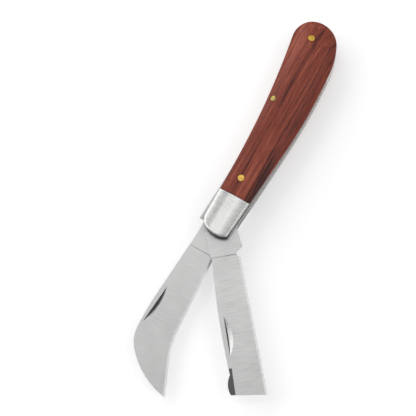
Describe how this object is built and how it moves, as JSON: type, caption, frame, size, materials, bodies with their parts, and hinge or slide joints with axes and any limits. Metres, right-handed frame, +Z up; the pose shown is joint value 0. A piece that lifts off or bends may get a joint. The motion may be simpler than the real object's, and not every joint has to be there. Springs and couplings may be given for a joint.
{
  "type": "whittling knife",
  "caption": "Slip-joint folding knife with a hooked pruning blade and a straight, square-ended blade with a bark lifter, wooden scales, steel bolsters and brass pins.",
  "frame": {"origin": "on the blade pivot axis, on the outer face of the rear bolster, which is the face the knife lies on", "axes": "+X from the pivot toward the tip of the opened hooked blade, +Y toward the blade slot and the cutting edges, +Z up through the stack from the rear scale to the front scale"},
  "size_m": [0.169, 0.0637, 0.0138],
  "materials": {
    "rosewood": "satin, open-pored, dark streaks along the handle",
    "satin_steel": "satin",
    "blade_steel": "cross-ground",
    "spring_steel": "satin",
    "liner_brass": "satin",
    "pin_brass": "polished flush"
  },
  "bodies": {
    "handle": {"rear_scale": "rosewood", "front_scale": "rosewood", "rear_bolster": "satin_steel", "front_bolster": "satin_steel", "rear_liner": "liner_brass", "centre_liner": "liner_brass", "front_liner": "liner_brass", "pivot_pin": "satin_steel", "rocker_pin": "pin_brass", "butt_pin": "pin_brass", "front_scale_pin": "pin_brass", "rear_scale_pin": "pin_brass"},
    "hooked_blade": {"pruning_blade": "blade_steel"},
    "square_blade": {"straight_blade": "blade_steel"},
    "back_spring_rear": {"rear_spring": "spring_steel"},
    "back_spring_front": {"front_spring": "spring_steel"}
  },
  "joints": [
    {"name": "pruning_blade_hinge", "type": "hinge", "parent": "handle", "child": "hooked_blade", "pos_m": [0, 0, 0.0054], "axis": [0, 0, 1], "range_deg": [0, 175.5]},
    {"name": "straight_blade_hinge", "type": "hinge", "parent": "handle", "child": "square_blade", "pos_m": [0, 0, 0.0084], "axis": [0, 0, 1], "range_deg": [-40, 135.5]},
    {"name": "rear_spring_lift", "type": "hinge", "parent": "handle", "child": "back_spring_rear", "pos_m": [-0.0565, -0.0071, 0.0054], "axis": [0, 0, 1], "range_deg": [-1.75, 0], "stiffness_Nm_per_rad": 0.4, "deforming": ["rear_spring"]},
    {"name": "front_spring_lift", "type": "hinge", "parent": "handle", "child": "back_spring_front", "pos_m": [-0.0565, -0.0071, 0.0084], "axis": [0, 0, 1], "range_deg": [-0.1, 1.75], "stiffness_Nm_per_rad": 0.4, "deforming": ["front_spring"]}
  ]
}
